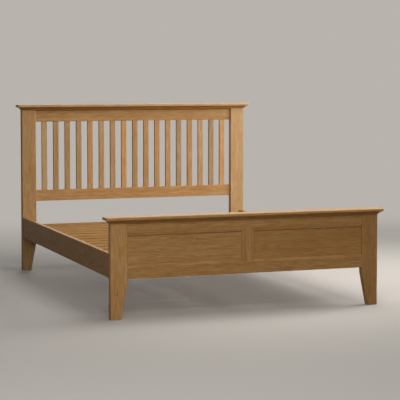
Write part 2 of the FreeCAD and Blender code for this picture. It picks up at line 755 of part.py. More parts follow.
def make_side_rail(side_name):
    """A side rail with a nut pocket inside and stud and dowel holes at each end."""
    side = SIDES[side_name]
    middle = f"{side} * {RAIL_MIDDLE_X}"
    inner = f"{side} * {RAIL_INNER_X}"
    outer = f"{side} * ({RAIL_INNER_X} + Sizes.side_rail_thickness)"
    body = new_body(f"side_rail_{side_name}")
    board = side_sketch(body, middle)
    draw_box(board, f"-{END_INNER_Y}", END_INNER_Y, "Sizes.side_rail_low", SIDE_RAIL_HIGH)
    pad(body, board, "Sizes.side_rail_thickness")
    chamfer_along(
        body,
        "y",
        "Sizes.side_rail_edge",
        (inner, outer),
        ("Sizes.side_rail_low", SIDE_RAIL_HIGH),
    )
    stud_hole = front_sketch(body, END_INNER_Y)
    draw_circle(
        stud_hole, middle, STUD_HEIGHT, "(Sizes.stud_diameter / 2 + Sizes.stud_clearance)"
    )
    stud_cut = pocket(body, stud_hole, "Sizes.pocket_distance")
    dowel_holes = front_sketch(body, END_INNER_Y)
    for height in DOWEL_HEIGHTS:
        draw_circle(dowel_holes, middle, height, CLOSE_DOWEL_RADIUS)
    dowel_cut = pocket(body, dowel_holes, "(Sizes.dowel_half_length + Sizes.glue_space)")
    nut_pocket = side_sketch(body, inner)
    draw_circle(
        nut_pocket, f"{END_INNER_Y} - Sizes.pocket_distance", STUD_HEIGHT, "Sizes.pocket_radius"
    )
    pocket_depth = "(Sizes.side_rail_thickness - Sizes.pocket_floor)"
    nut_cut = pocket(body, nut_pocket, pocket_depth)
    other_end = body.newObject("PartDesign::Mirrored", f"{body.Name}_mirrored")
    other_end.Originals = [stud_cut, dowel_cut, nut_cut]
    other_end.MirrorPlane = (origin_plane(body, "XZ_Plane"), [""])
    body.Tip = other_end


def make_bearer(side_name):
    """The strip on the inside of a side rail that the bed slats rest on."""
    side = SIDES[side_name]
    low = f"({SLAT_UNDERSIDE} - Sizes.bearer_height)"
    free_side = f"{side} * ({RAIL_INNER_X} - Sizes.bearer_width)"
    end_gap = "(Sizes.pocket_distance + Sizes.pocket_radius + Sizes.bearer_pocket_gap)"
    reach = f"({END_INNER_Y} - {end_gap})"
    body = new_body(f"slat_bearer_{side_name}")
    strip = side_sketch(body, f"{side} * ({RAIL_INNER_X} - Sizes.bearer_width / 2)")
    draw_box(strip, f"-{reach}", reach, low, SLAT_UNDERSIDE)
    pad(body, strip, "Sizes.bearer_width")
    chamfer_along(body, "y", "Sizes.bearer_edge", (free_side,), (low,))


for side_name in SIDES:
    make_side_rail(side_name)
    make_bearer(side_name)


# ---------------------------------------------------------------- bed slats and the beam under them

BED_SLAT_PITCH = (
    f"((2 * ({END_INNER_Y} - Sizes.bed_slat_end_gap) - Sizes.bed_slat_width)"
    " / (Sizes.bed_slat_count - 1))"
)
FIRST_BED_SLAT_Y = f"(Sizes.bed_slat_end_gap + Sizes.bed_slat_width / 2 - {END_INNER_Y})"
BEAM_LOW = f"({SLAT_UNDERSIDE} - Sizes.centre_rail_height)"
BEAM_SEATS = {
    "foot": (f"({FACE_Y['footboard']} + {RAIL_BACK['footboard']})", 1),
    "head": (f"({FACE_Y['headboard']} + {RAIL_FRONT['headboard']})", -1),
}


def make_bed_slat(number):
    """One slat across the bed, lying on both bearers and on the centre rail."""
    half_width = "Sizes.bed_slat_width / 2"
    place = f"{FIRST_BED_SLAT_Y} + {number - 1} * {BED_SLAT_PITCH}"
    body = new_body(f"bed_slat_{number:02d}", y=place)
    section = side_sketch(body)
    draw_box(section, f"-{half_width}", half_width, SLAT_UNDERSIDE, SLAT_TOP)
    pad(body, section, f"2 * ({RAIL_INNER_X} - Sizes.bed_slat_side_gap)")
    edges = (f"-{half_width}", half_width)
    chamfer_along(body, "x", "Sizes.bed_slat_edge", edges, (SLAT_UNDERSIDE, SLAT_TOP))


def make_centre_rail():
    """The beam from footboard to headboard that holds up the middle of every slat."""
    body = new_body("centre_rail")
    beam = side_sketch(body)
    draw_box(
        beam,
        f"{BEAM_SEATS['foot'][0]} + Sizes.hanger_sheet",
        f"{BEAM_SEATS['head'][0]} - Sizes.hanger_sheet",
        BEAM_LOW,
        SLAT_UNDERSIDE,
    )
    pad(body, beam, "Sizes.centre_rail_width")


def make_hanger(end_name):
    """A bent steel hanger: a trough under the beam's end and a back plate on the rail."""
    seat, inward = BEAM_SEATS[end_name]
    inner = "(Sizes.centre_rail_width / 2 + Sizes.hanger_clearance)"
    outer = f"({inner} + Sizes.hanger_sheet)"
    floor = f"({BEAM_LOW} - Sizes.hanger_sheet)"
    wall_top = f"({floor} + Sizes.hanger_wall_height)"
    plate_top = f"({floor} + Sizes.hanger_plate_height)"
    half_plate = f"({outer} + Sizes.hanger_flange_width)"
    body = new_body(f"centre_rail_hanger_{end_name}", y=seat)
    trough = front_sketch(body, f"{inward} * Sizes.hanger_reach / 2")
    draw_outline(
        trough,
        [
            (f"-{outer}", floor),
            (outer, floor),
            (outer, wall_top),
            (inner, wall_top),
            (inner, BEAM_LOW),
            (f"-{inner}", BEAM_LOW),
            (f"-{inner}", wall_top),
            (f"-{outer}", wall_top),
        ],
    )
    pad(body, trough, "Sizes.hanger_reach")
    plate = front_sketch(body, f"{inward} * Sizes.hanger_sheet / 2")
    draw_box(plate, f"-{half_plate}", half_plate, floor, plate_top)
    pad(body, plate, "Sizes.hanger_sheet")
    holes = front_sketch(body)
    for side in SIDES.values():
        for height in (
            f"{floor} + Sizes.hanger_hole_margin",
            f"{plate_top} - Sizes.hanger_hole_margin",
        ):
            hole_x = f"{side} * ({outer} + Sizes.hanger_flange_width / 2)"
            draw_circle(holes, hole_x, height, "Sizes.hanger_hole / 2")
    pocket(body, holes, "Sizes.hanger_sheet")


for number in range(1, round(value_of("Sizes.bed_slat_count")) + 1):
    make_bed_slat(number)
make_centre_rail()
for end_name in BEAM_SEATS:
    make_hanger(end_name)


# ---------------------------------------------------------------- fasteners of the side rail joints

ALONG_BED = FreeCAD.Rotation(FreeCAD.Vector(1, 0, 0), -90)
ACROSS_BED = FreeCAD.Rotation(FreeCAD.Vector(0, 1, 0), 90)
UPRIGHT = FreeCAD.Rotation()


def new_solid(kind, name, turn, place, sizes):
    """A simple solid, turned and placed, with its sizes tied to expressions."""
    solid = document.addObject(f"Part::{kind}", name)
    solid.Placement.Rotation = turn
    for axis, expression in zip("xyz", place):
        solid.setExpression(f"Placement.Base.{axis}", expression)
    for size, expression in sizes.items():
        solid.setExpression(size, expression)
    return solid


def boolean(kind, name, base, tool):
    """One solid cut from, or shared with, another."""
    result = document.addObject(f"Part::{kind}", name)
    result.Base = base
    result.Tool = tool
    return result


def make_group(name, solids):
    """Like pieces that share one node, each still a solid of its own."""
    group = document.addObject("Part::Compound", name)
    group.Label = name
    group.Links = solids
    nodes.append(group)


def round_bar(name, corner, height, radius, reach_in_rail, reach_in_post):
    """A round bar across the joint of one corner, lying along the bed."""
    side, end = corner
    length = f"({reach_in_rail} + {reach_in_post})"
    low = f"({end} * {END_INNER_Y} - {reach_in_rail if end > 0 else reach_in_post})"
    place = (f"{side} * {RAIL_MIDDLE_X}", low, height)
    return new_solid("Cylinder", name, ALONG_BED, place, {"Radius": radius, "Height": length})


def make_stud(name, corner):
    """A stud that is screwed into the post and ends in the rail's nut pocket."""
    in_rail = "(Sizes.pocket_distance + Sizes.stud_overrun)"
    return round_bar(
        name, corner, STUD_HEIGHT, "Sizes.stud_diameter / 2", in_rail, "Sizes.stud_grip"
    )


def make_stud_room(name, corner, radius):
    """The hole that a washer or nut has for its stud."""
    in_rail = "(2 * Sizes.pocket_distance)"
    return round_bar(name, corner, STUD_HEIGHT, radius, in_rail, "Sizes.glue_space")


def make_crescent(name, corner):
    """A half-moon washer: round towards the pocket's wall, flat towards the nut."""
    side, end = corner
    left = f"({side} * {RAIL_MIDDLE_X} - Sizes.crescent_width / 2)"
    pocket_middle = f"({end} * ({END_INNER_Y} - Sizes.pocket_distance))"
    disc = new_solid(
        "Cylinder",
        f"{name}_disc",
        ACROSS_BED,
        (left, pocket_middle, STUD_HEIGHT),
        {
            "Radius": "Sizes.pocket_radius - Sizes.crescent_clearance",
            "Height": "Sizes.crescent_width",
        },
    )
    reach = "Sizes.pocket_radius"
    low = "Sizes.crescent_seat" if end > 0 else f"(-{reach})"
    kept_part = new_solid(
        "Box",
        f"{name}_kept_part",
        UPRIGHT,
        (left, f"{pocket_middle} + {low}", f"{STUD_HEIGHT} - {reach}"),
        {
            "Length": "Sizes.crescent_width",
            "Width": f"{reach} - Sizes.crescent_seat",
            "Height": f"2 * {reach}",
        },
    )
    segment = boolean("Common", f"{name}_segment", disc, kept_part)
    room = make_stud_room(
        f"{name}_room", corner, "Sizes.stud_diameter / 2 + Sizes.stud_clearance"
    )
    return boolean("Cut", name, segment, room)


def make_nut(name, corner):
    """The hexagon nut that draws the rail against the post."""
    side, end = corner
    seat = f"({end} * ({END_INNER_Y} - Sizes.pocket_distance + Sizes.crescent_seat))"
    low = f"({seat} - Sizes.nut_height)" if end > 0 else seat
    hexagon = new_solid(
        "Prism",
        f"{name}_hexagon",
        ALONG_BED,
        (f"{side} * {RAIL_MIDDLE_X}", low, STUD_HEIGHT),
        {"Circumradius": "Sizes.nut_across_corners / 2", "Height": "Sizes.nut_height"},
    )
    room = make_stud_room(f"{name}_room", corner, CLOSE_STUD_RADIUS)
    return boolean("Cut", name, hexagon, room)


def make_dowel(name, corner, height):
    """A beech dowel, half in the post and half in the rail."""
    half = "Sizes.dowel_half_length"
    return round_bar(name, corner, height, "Sizes.dowel_diameter / 2", half, half)


studs, crescents, nuts, dowels = [], [], [], []
for side_name, side in SIDES.items():
    for end_name, end in (("foot", -1), ("head", 1)):
        corner = (side, end)
        where = f"{end_name}_{side_name}"
        studs.append(make_stud(f"stud_{where}", corner))
        crescents.append(make_crescent(f"crescent_{where}", corner))
        nuts.append(make_nut(f"nut_{where}", corner))
        for level, height in zip(("low", "high"), DOWEL_HEIGHTS):
            dowels.append(make_dowel(f"dowel_{where}_{level}", corner, height))
make_group("side_rail_studs", studs)
make_group("crescent_washers", crescents)
make_group("stud_nuts", nuts)
make_group("locating_dowels", dowels)


# ---------------------------------------------------------------- check and export

document.recompute()
for item in document.Objects:
    if "Invalid" in item.State or "Error" in item.State:
        raise RuntimeError(f"{item.Label} could not be built: {item.State}")
for node in nodes:
    if node.Shape.isNull() or not node.Shape.isValid() or not node.Shape.Solids:
        raise RuntimeError(f"{node.Label} has no valid solid")
os.makedirs("parts", exist_ok=True)
for node in nodes:
    node.Shape.exportStep(f"parts/{node.Label}.step")
print(f"{len(nodes)} nodes, {sum(len(node.Shape.Solids) for node in nodes)} solids")
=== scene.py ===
import json
import math
import random

import bmesh
import bpy
from mathutils import Euler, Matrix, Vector

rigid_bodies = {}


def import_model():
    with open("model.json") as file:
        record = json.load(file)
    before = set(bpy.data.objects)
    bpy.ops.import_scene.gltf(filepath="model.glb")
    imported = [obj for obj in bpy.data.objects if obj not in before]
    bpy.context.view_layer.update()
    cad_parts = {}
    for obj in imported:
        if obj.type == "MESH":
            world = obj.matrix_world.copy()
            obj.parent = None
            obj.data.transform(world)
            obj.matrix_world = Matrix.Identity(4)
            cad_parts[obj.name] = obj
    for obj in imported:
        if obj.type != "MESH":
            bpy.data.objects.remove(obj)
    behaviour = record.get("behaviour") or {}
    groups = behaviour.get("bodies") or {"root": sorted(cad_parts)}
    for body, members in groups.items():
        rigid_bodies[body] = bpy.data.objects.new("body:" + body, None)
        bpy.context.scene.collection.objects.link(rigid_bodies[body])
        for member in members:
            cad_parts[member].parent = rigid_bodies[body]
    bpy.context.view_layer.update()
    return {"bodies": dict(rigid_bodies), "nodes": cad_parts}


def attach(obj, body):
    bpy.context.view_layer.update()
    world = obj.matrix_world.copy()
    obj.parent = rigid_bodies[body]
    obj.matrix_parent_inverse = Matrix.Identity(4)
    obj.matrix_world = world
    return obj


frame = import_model()
body = next(iter(frame["bodies"]))
nodes = frame["nodes"]
MM = 0.001


# ---------------------------------------------------------------- headboard posts
# Two flat oak posts, 95 by 40 mm, tapered on the inner side of the foot. Planed and sanded
# white oak under a thin honey-coloured satin lacquer; every edge is eased.


def linear(hex_colour):
    """The linear colour that an sRGB hex value stands for."""
    channels = [int(hex_colour[place : place + 2], 16) / 255 for place in (1, 3, 5)]
    return [c / 12.92 if c <= 0.04045 else ((c + 0.055) / 1.055) ** 2.4 for c in channels] + [1]


def add_node(tree, kind, inputs, **settings):
    """Adds a node with its settings, and gives each named input its value or its link."""
    node = tree.nodes.new(kind)
    for name, value in settings.items():
        setattr(node, name, value)
    for name, value in inputs.items():
        if isinstance(value, bpy.types.NodeSocket):
            tree.links.new(value, node.inputs[name])
        else:
            node.inputs[name].default_value = value
    return node


def fill_ramp(ramp, stops):
    """Sets the stops of a colour ramp from (position, hex colour) pairs."""
    elements = ramp.color_ramp.elements
    while len(elements) < len(stops):
        elements.new(1)
    for element, (position, hex_colour) in zip(elements, stops):
        element.position = position
        element.color = linear(hex_colour)


def make_oak_figure():
    """The figure of sawn oak, as a solid pattern in a log whose heart runs along local Z."""
    ring_spacing = 2.6 * MM
    band_width = 17 * MM
    streak_width = 4 * MM
    streak_length = 70 * MM
    cloud_width = 26 * MM
    cloud_length = 8 * cloud_width
    pore_width = 1 * MM  # real pores are 0.3 mm wide, too fine to show
    pore_length = 12 * MM
    bend_width = 150 * MM
    bend_length = 900 * MM
    bend = 50 * MM

    tree = bpy.data.node_groups.new("sawn_oak_figure", "ShaderNodeTree")
    tree.interface.new_socket("Place in log", in_out="INPUT", socket_type="NodeSocketVector")
    tree.interface.new_socket("Tint", in_out="INPUT", socket_type="NodeSocketColor")
    tree.interface.new_socket("Colour", in_out="OUTPUT", socket_type="NodeSocketColor")
    tree.interface.new_socket("Roughness", in_out="OUTPUT", socket_type="NodeSocketFloat")
    tree.interface.new_socket("Height", in_out="OUTPUT", socket_type="NodeSocketFloat")
    entry = tree.nodes.new("NodeGroupInput")
    place = entry.outputs["Place in log"]

    def blots_in_log(across, along, detail):
        """Soft noise round 0.5, in blots that are across wide and along long in the log."""
        scale = (1 / across, 1 / across, 1 / along)
        scaled = add_node(tree, "ShaderNodeVectorMath", {0: place, 1: scale}, operation="MULTIPLY")
        vector = scaled.outputs["Vector"]
        inputs = {"Vector": vector, "Scale": 1.0, "Detail": detail, "Roughness": 0.55}
        return add_node(tree, "ShaderNodeTexNoise", inputs).outputs

    # the trunk isn't straight: its heart wanders, and each ring is a little uneven
    sway = add_node(
        tree,
        "ShaderNodeVectorMath",
        {
            0: blots_in_log(bend_width, bend_length, 2.0)["Color"],
            1: (bend, bend, 0),
            2: (-bend / 2, -bend / 2, 0),
        },
        operation="MULTIPLY_ADD",
    ).outputs["Vector"]
    swayed = add_node(tree, "ShaderNodeVectorMath", {0: place, 1: sway}, operation="ADD")
    across = add_node(
        tree,
        "ShaderNodeVectorMath",
        {0: swayed.outputs["Vector"], 1: (1, 1, 0)},
        operation="MULTIPLY",
    )
    radius = add_node(
        tree, "ShaderNodeVectorMath", {0: across.outputs["Vector"]}, operation="LENGTH"
    ).outputs["Value"]

    # each ring is dark where spring starts, and wider bands of good and bad years lie over them
    age = add_node(tree, "ShaderNodeMath", {0: radius, 1: ring_spacing}, operation="DIVIDE")
    season = add_node(tree, "ShaderNodeMath", {0: age.outputs[0]}, operation="FRACT").outputs[0]
    ring = add_node(tree, "ShaderNodeValToRGB", {"Fac": season})
    fill_ramp(ring, [(0, "#404040"), (0.22, "#B0B0B0"), (0.85, "#C8C8C8"), (1, "#A0A0A0")])
    bands_passed = add_node(
        tree, "ShaderNodeMath", {0: radius, 1: band_width}, operation="DIVIDE"
    ).outputs[0]
    band = add_node(
        tree,
        "ShaderNodeTexNoise",
        {"W": bands_passed, "Scale": 1.0, "Detail": 3.0},
        noise_dimensions="1D",
    ).outputs["Fac"]
    streak = blots_in_log(streak_width, streak_length, 3.0)["Fac"]
    cloud = blots_in_log(cloud_width, cloud_length, 1.0)["Fac"]

    # light and dark wood, from all of these together
    shade = -0.22
    for part, weight in ((band, 0.2), (streak, 0.85), (cloud, 0.28), (ring.outputs["Color"], 0.16)):
        shade = add_node(
            tree, "ShaderNodeMath", {0: part, 1: weight, 2: shade}, operation="MULTIPLY_ADD"
        ).outputs[0]
    wood = add_node(tree, "ShaderNodeValToRGB", {"Fac": shade})
    fill_ramp(wood, [(0.15, "#A06F3F"), (0.5, "#C4955E"), (0.85, "#DCB684")])

    # the open pores of the early wood, drawn out along the grain
    blot = blots_in_log(pore_width, pore_length, 1.0)["Fac"]
    hollow = add_node(
        tree, "ShaderNodeMapRange", {"Value": blot, "From Min": 0.56, "From Max": 0.68}
    ).outputs["Result"]
    early = add_node(
        tree, "ShaderNodeMapRange", {"Value": season, "From Min": 0.45, "From Max": 0.2}
    ).outputs["Result"]
    pore = add_node(tree, "ShaderNodeMath", {0: hollow, 1: early}, operation="MULTIPLY").outputs[0]
    stain = add_node(tree, "ShaderNodeMath", {0: pore, 1: 0.6}, operation="MULTIPLY").outputs[0]
    # sockets 6 and 7 of a Mix node are the two colours that it mixes
    pored = add_node(
        tree,
        "ShaderNodeMix",
        {"Factor": stain, 6: wood.outputs["Color"], 7: linear("#6E4521")},
        data_type="RGBA",
    )
    tinted = add_node(
        tree,
        "ShaderNodeMix",
        {"Factor": 1.0, 6: pored.outputs[2], 7: entry.outputs["Tint"]},
        data_type="RGBA",
        blend_type="MULTIPLY",
    )

    # streaks and pores are duller than the wood between them, and the pores lie lower
    roughness = add_node(
        tree, "ShaderNodeMath", {0: streak, 1: 0.12, 2: 0.44}, operation="MULTIPLY_ADD"
    ).outputs[0]
    roughness = add_node(
        tree, "ShaderNodeMath", {0: pore, 1: 0.15, 2: roughness}, operation="MULTIPLY_ADD"
    ).outputs[0]
    height = add_node(tree, "ShaderNodeMath", {0: streak, 1: 0.25}, operation="MULTIPLY").outputs[0]
    height = add_node(
        tree, "ShaderNodeMath", {0: pore, 1: -0.8, 2: height}, operation="MULTIPLY_ADD"
    ).outputs[0]
    leave = tree.nodes.new("NodeGroupOutput")
    tree.links.new(tinted.outputs[2], leave.inputs["Colour"])
    tree.links.new(roughness, leave.inputs["Roughness"])
    tree.links.new(height, leave.inputs["Height"])
    return tree


OAK_FIGURE = make_oak_figure()
KNOT_WIDTH = 9 * MM
KNOT_HEIGHT = 7 * MM
RELIEF = 0.3 * MM
CORNER_SHADE_REACH = 7 * MM
EASED_EDGE = 0.8 * MM
GRAIN_TURN = {"x": Euler((0, -math.pi / 2, 0)), "y": Euler((math.pi / 2, 0, 0)), "z": Euler()}
draw = random.Random(31)


def sawn_oak(name, piece, grain, tone=1.0, warmth=0.0, lacquer=0.04, shine=0.12, knot=None):
    """White oak with fine straight grain, under satin lacquer or bare.

    grain is the axis that the piece was sawn along, tone and warmth set its board apart from the
    others and on some pieces also hold painted light or shade, lacquer is the weight of the clear
    coat and shine how much the wood itself mirrors, and knot is the place of a small knot on a
    front face, as x and z.
    """
    low, high = (Vector(corner) for corner in piece_box(piece))
    turn = GRAIN_TURN[grain]
    middle = (low + high) / 2
    middle.rotate(turn)
    # the middle of each board lay at its own place in its log, 7 to 12 cm from the heart
    from_heart = draw.uniform(0.07, 0.11)
    to_side = draw.uniform(-0.05, 0.05)
    along_log = draw.uniform(-5, 5)
    place = Vector((from_heart, to_side, along_log)) - middle

    material = bpy.data.materials.new(name)
    material.use_nodes = True
    tree = material.node_tree
    shader = tree.nodes["Principled BSDF"]
    shader.inputs["Specular IOR Level"].default_value = shine
    shader.inputs["Coat Weight"].default_value = lacquer
    shader.inputs["Coat Roughness"].default_value = 0.3
    coordinates = tree.nodes.new("ShaderNodeTexCoord")
    mapping = add_node(
        tree,
        "ShaderNodeMapping",
        {"Vector": coordinates.outputs["Object"], "Location": place, "Rotation": turn},
    )
    # a warm board is a little redder and less blue than a neutral one, and a cool one the reverse
    tint = (tone * (1 + 0.05 * warmth), tone * (1 - 0.01 * warmth), tone * (1 - 0.12 * warmth), 1)
    figure = add_node(
        tree,
        "ShaderNodeGroup",
        {"Place in log": mapping.outputs["Vector"], "Tint": tint},
        node_tree=OAK_FIGURE,
    )
    bump = add_node(
        tree,
        "ShaderNodeBump",
        {"Height": figure.outputs["Height"], "Strength": 0.35, "Distance": RELIEF},
    )
    colour = figure.outputs["Colour"]
    if knot is not None:
        from_knot = add_node(
            tree,
            "ShaderNodeMapping",
            {
                "Vector": coordinates.outputs["Object"],
                "Location": (-knot[0] / KNOT_WIDTH, 0, -knot[1] / KNOT_HEIGHT),
                "Scale": (1 / KNOT_WIDTH, 0, 1 / KNOT_HEIGHT),
            },
        )
        off_middle = add_node(
            tree, "ShaderNodeVectorMath", {0: from_knot.outputs["Vector"]}, operation="LENGTH"
        )
        inside = add_node(
            tree,
            "ShaderNodeMapRange",
            {"Value": off_middle.outputs["Value"], "From Min": 0.55, "From Max": 0.3},
        )
        colour = add_node(
            tree,
            "ShaderNodeMix",
            {"Factor": inside.outputs["Result"], 6: colour, 7: linear("#5E3B1E")},
            data_type="RGBA",
        ).outputs[2]

    # painted shade: the colour darkens in the inner corners, where shade falls
    corner_occlusion = add_node(tree, "ShaderNodeAmbientOcclusion", {"Distance": CORNER_SHADE_REACH}, samples=8)
    painted_corner_shade = add_node(
        tree,
        "ShaderNodeMapRange",
        {"Value": corner_occlusion.outputs["AO"], "From Min": 0.85, "From Max": 0.45, "To Max": 0.35},
    )
    colour = add_node(
        tree,
        "ShaderNodeMix",
        {"Factor": painted_corner_shade.outputs["Result"], 6: colour, 7: linear("#4A2F18")},
        data_type="RGBA",
    ).outputs[2]
    tree.links.new(colour, shader.inputs["Base Color"])
    tree.links.new(figure.outputs["Roughness"], shader.inputs["Roughness"])
    tree.links.new(bump.outputs["Normal"], shader.inputs["Normal"])
    return material


def piece_box(piece):
    """The lowest and highest corner of an object whose place is in its mesh."""
    corners = [Vector(corner) for corner in piece.bound_box]
    low = [min(corner[axis] for corner in corners) for axis in range(3)]
    high = [max(corner[axis] for corner in corners) for axis in range(3)]
    return low, high


def set_material(piece, material):
    """Makes a material the only one of a piece."""
    piece.data.materials.clear()
    piece.data.materials.append(material)


def ease_edges(piece):
    """Rounds the sharp edges of a sawn board, as sanding does."""
    weld = piece.modifiers.new("weld", "WELD")
    weld.merge_threshold = 0.01 * MM
    flat = piece.modifiers.new("flat_faces", "DECIMATE")
    flat.decimate_type = "DISSOLVE"
    flat.angle_limit = math.radians(0.5)
    bevel = piece.modifiers.new("eased_edges", "BEVEL")
    bevel.width = EASED_EDGE
    bevel.segments = 2
    bevel.limit_method = "ANGLE"
    bevel.angle_limit = math.radians(40)
    bevel.harden_normals = True


def finish_oak(node, grain, finish="lacquered", **board):
    """Finishes one wooden piece of the bed: its own board of oak, with sanded edges."""
    piece = nodes[node]
    set_material(piece, sawn_oak(f"{finish}_oak_{node}", piece, grain, **board))
    ease_edges(piece)


# the right post is lighter and cooler than the left, partly the boards' own tone and partly painted
# light falling from the right
for node, tone, warmth in (("headboard_post_left", 0.9, -0.6), ("headboard_post_right", 1.1, -1.6)):
    finish_oak(node, "z", tone=tone, warmth=warmth)


# ---------------------------------------------------------------- headboard rails
# Three oak rails tenoned into the posts: the top one under the moulding, the middle one under
# the upright slats, and a low one, hidden behind the side rails and bed slats, that carries the
# centre rail.

for node, tone, warmth in (
    ("headboard_top_rail", 0.87, 0.0),
    ("headboard_middle_rail", 0.94, 0.1),
    ("headboard_bottom_rail", 0.9, -0.5),
):
    finish_oak(node, "x", tone=tone, warmth=warmth)


# ---------------------------------------------------------------- upright slats
# Seventeen thin oak slats, glued into the rails with stub tenons. They come from many boards,
# so that reddish and straw-coloured ones stand side by side.

for node in sorted(name for name in nodes if name.startswith("headboard_slat_")):
    finish_oak(node, "z", tone=draw.uniform(0.88, 1.12), warmth=draw.uniform(-2.2, 0.3))


# ---------------------------------------------------------------- footboard frame
# Two posts, two rails and a muntin of oak, tenoned and glued. The rails and the muntin are
# bevelled towards the panels.

# the left post is lighter than the right one, partly the boards' own tone and partly painted light,
# which falls stronger on the footboard's left
finish_oak("footboard_post_left", "z", tone=1.15, warmth=0.7, knot=(-0.753, 0.138))
finish_oak("footboard_post_right", "z", tone=0.88, warmth=1.2)
finish_oak("footboard_top_rail", "x", tone=0.96, warmth=1.0)
finish_oak("footboard_bottom_rail", "x", tone=0.96, warmth=1.1)
finish_oak("footboard_muntin", "z", tone=1.0, warmth=0.9)


# ---------------------------------------------------------------- footboard panels
# Two flat oak panels with the grain across the bed, lacquered like the frame. They lie loose in
# its grooves, so that they can swell and shrink.

# the left panel is lighter than the right one, partly the boards' own tone and partly painted light,
# as on the posts
finish_oak("footboard_panel_left", "x", tone=1.0, warmth=0.9, knot=(-0.292, 0.415))
finish_oak("footboard_panel_right", "x", tone=0.91, warmth=1.4)


# ---------------------------------------------------------------- mouldings and capping boards
# A cove-moulded oak board lies on each end frame, hollowed along both sides and round both ends.
# On it lies the flat oak capping board, with its upper and lower edges rounded.

# the headboard's cove is set darker than the footboard's, partly its own tone and partly painted
# shade under its cap
for board, cove_tone, cap_tone, warmth in (
    ("headboard", 0.84, 1.12, 0.8),
    ("footboard", 0.99, 1.08, 2),
):
    finish_oak(f"{board}_cove", "x", tone=cove_tone, warmth=warmth)
    finish_oak(f"{board}_cap", "x", tone=cap_tone, warmth=-0.9)


# ---------------------------------------------------------------- side rails
# Two long oak side rails, lacquered as the end frames are, and bolted to the posts with a stud
# and a nut at each end.

# the side rails are a darker tone than the end frames, partly the boards' own tone and partly
# painted shade on their outer faces
for side in ("left", "right"):
    finish_oak(f"side_rail_{side}", "y", tone=0.78, warmth=1.6)


# ---------------------------------------------------------------- slat base
# Bare planed oak, duller than the lacquered frame: a bearer strip glued and screwed along each
# side rail, the beam in the middle of the bed, and fifteen slats across it.

for node in ("slat_bearer_left", "slat_bearer_right", "centre_rail"):
    finish_oak(node, "y", finish="planed", tone=1.0, warmth=-0.4, lacquer=0, shine=0)
for node in sorted(name for name in nodes if name.startswith("bed_slat_")):
    tone = draw.uniform(0.68, 0.82)
    warmth = draw.uniform(-0.2, 0.8)
    finish_oak(node, "x", finish="planed", tone=tone, warmth=warmth, lacquer=0, shine=0)


# ---------------------------------------------------------------- steel hangers and joint fittings
# The hangers of the centre rail, bent from steel sheet, and the studs, half-moon washers and
# nuts that hold the side rails, all bright zinc plated.


def zinc_plated_steel():
    """Bright zinc on steel: pale bluish grey with soft reflections from the plating bath."""
    material = bpy.data.materials.new("zinc_plated_steel")
    material.use_nodes = True
    tree = material.node_tree
    shader = tree.nodes["Principled BSDF"]
    shader.inputs["Metallic"].default_value = 1.0
    grain_size = 6 * MM
    coordinates = tree.nodes.new("ShaderNodeTexCoord")
    spangle = add_node(
        tree,
        "ShaderNodeTexNoise",
        {"Vector": coordinates.outputs["Object"], "Scale": 1 / grain_size, "Detail": 3.0},
    )
    colour = add_node(tree, "ShaderNodeValToRGB", {"Fac": spangle.outputs["Fac"]})
    fill_ramp(colour, [(0.3, "#A9ADB0"), (0.7, "#C6CACC")])
    rough = add_node(
        tree,
        "ShaderNodeMapRange",
        {"Value": spangle.outputs["Fac"], "To Min": 0.28, "To Max": 0.42},
    )
    tree.links.new(colour.outputs["Color"], shader.inputs["Base Color"])
    tree.links.new(rough.outputs["Result"], shader.inputs["Roughness"])
    return material


ZINC = zinc_plated_steel()
for node in (
    "centre_rail_hanger_foot",
    "centre_rail_hanger_head",
    "side_rail_studs",
    "crescent_washers",
    "stud_nuts",
):
    set_material(nodes[node], ZINC)


# ---------------------------------------------------------------- wood screws
# Zinc-plated screws with a cross recess. Countersunk ones go through each bed slat into the
# bearers and the centre rail, and through the bearers into the side rails; pan-head ones hold
# the hangers.

SCREW_SIDES = 16


def make_screw(name, rings):
    """One screw with its axis along +Z, from rings of radius and height, the top one first."""
    bm = bmesh.new()
    top = rings[0][1]

    def ring(points, size, height):
        """A loop of corners at one height, from points of which one unit is size long."""
        return [bm.verts.new((size * x, size * y, height)) for x, y in points]

    def join(upper, lower):
        for n in range(len(upper)):
            bm.faces.new((upper[n - 1], upper[n], lower[n], lower[n - 1]))

    turns = [2 * math.pi * n / SCREW_SIDES for n in range(SCREW_SIDES)]
    circle = [(math.cos(turn), math.sin(turn)) for turn in turns]
    loops = [ring(circle, radius, height) for radius, height in rings]
    for upper, lower in zip(loops, loops[1:]):
        join(upper, lower)
    bm.faces.new(loops[-1])

    # the cross recess, its four arms narrower at the bottom
    arm = 2.5 * MM
    half_width = 0.6 * MM
    depth = 1.8 * MM
    cross = []
    for c, s in ((1, 0), (0, 1), (-1, 0), (0, -1)):
        for along, beside in ((arm, -half_width), (arm, half_width), (half_width, half_width)):
            cross.append((c * along - s * beside, s * along + c * beside))
    mouth = ring(cross, 1, top)
    bottom = ring(cross, 0.5, top - depth)
    join(mouth, bottom)
    bm.faces.new(bottom)
    edges = []
    for loop in (loops[0], mouth):
        for n in range(len(loop)):
            edges.append(bm.edges.get((loop[n - 1], loop[n])))
    bmesh.ops.triangle_fill(bm, edges=edges, use_beauty=True)
    bmesh.ops.recalc_face_normals(bm, faces=bm.faces)
    mesh = bpy.data.meshes.new(name)
    bm.to_mesh(mesh)
    bm.free()
    return bpy.data.objects.new(name, mesh)


